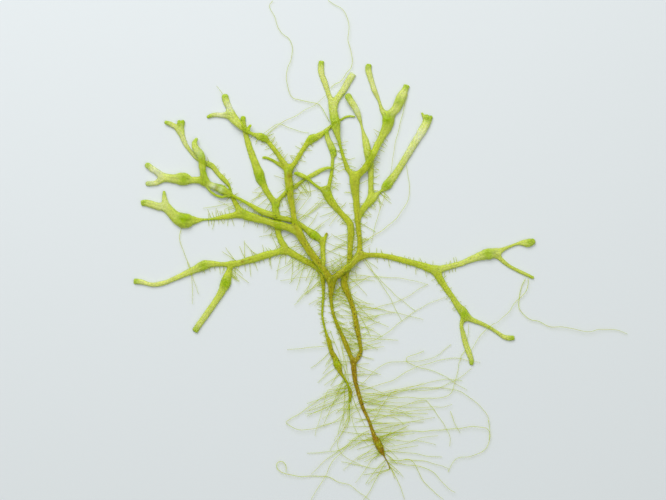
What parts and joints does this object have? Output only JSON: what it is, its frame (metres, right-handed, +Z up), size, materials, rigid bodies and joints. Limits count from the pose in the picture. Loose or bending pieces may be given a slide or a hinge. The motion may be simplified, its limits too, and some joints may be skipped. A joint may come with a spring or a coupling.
{
  "type": "riccia plant",
  "caption": "Loose riccia liverwort for an aquarium: flat green ribbons that fork again and again from an old brown base, with fine pale rhizoids.",
  "frame": {"origin": "Centre of the footprint, on the surface that the plant lies on.", "axes": "+Z is up, away from the surface, across the thin way of the ribbons. +Y runs from the old base to the growing tips, along the longest extent. +X is to the right, seen from above."},
  "size_m": [0.0494, 0.05, 0.0009],
  "materials": {
    "young_ribbon": "damp, translucent yellow-green plant tissue with darker green tips and nodules",
    "dark_ribbon": "damp, denser and darker green plant tissue",
    "old_ribbon": "damp olive plant tissue with small brown and dark specks",
    "old_base": "damp brown, old and rough plant tissue",
    "rhizoid": "pale yellow-green, clear and hair-fine"
  },
  "bodies": {
    "root": {"base_stem": "old_base", "centre_stem_lower": "old_ribbon", "centre_stem_upper": "old_ribbon", "crossing_branch": "young_ribbon", "drooping_left_branch": "young_ribbon", "far_left_branch": "young_ribbon", "high_left_branch": "young_ribbon", "inner_left_branch": "young_ribbon", "inner_left_stem": "young_ribbon", "inner_right_branch": "young_ribbon", "left_branch": "young_ribbon", "left_forked_tip": "young_ribbon", "left_leaf": "dark_ribbon", "left_old_stem": "old_ribbon", "left_stem_lower": "old_ribbon", "left_stem_upper": "old_ribbon", "long_ribbon": "dark_ribbon", "lower_left_branch": "young_ribbon", "lower_left_stem": "young_ribbon", "middle_leaf": "dark_ribbon", "middle_stem": "old_ribbon", "middle_tip_branch": "young_ribbon", "outer_old_stem": "old_ribbon", "outer_right_branch": "young_ribbon", "rhizoid_base_down": "rhizoid", "rhizoid_base_left": "rhizoid", "rhizoid_base_left_upper": "rhizoid", "rhizoid_base_outer": "rhizoid", "rhizoid_base_right": "rhizoid", "rhizoid_centre_right": "rhizoid", "rhizoid_left_down": "rhizoid", "rhizoid_left_fold": "rhizoid", "rhizoid_left_loop": "rhizoid", "rhizoid_right_hook": "rhizoid", "rhizoid_right_loop_lower": "rhizoid", "rhizoid_right_loop_upper": "rhizoid", "rhizoid_right_tip_long": "rhizoid", "rhizoid_right_tip_short": "rhizoid", "rhizoid_top_left": "rhizoid", "rhizoid_top_right": "rhizoid", "right_branch": "young_ribbon", "right_lower_branch": "young_ribbon", "right_lower_tip_down": "young_ribbon", "right_lower_tip_out": "young_ribbon", "right_old_stem": "old_ribbon", "right_side_stem": "young_ribbon", "right_stem": "old_ribbon", "right_upper_tip": "young_ribbon", "top_branch": "young_ribbon", "top_right_branch": "young_ribbon", "top_right_tip_left": "young_ribbon", "upper_left_branch": "young_ribbon", "upper_middle_branch": "young_ribbon"}
  },
  "joints": []
}
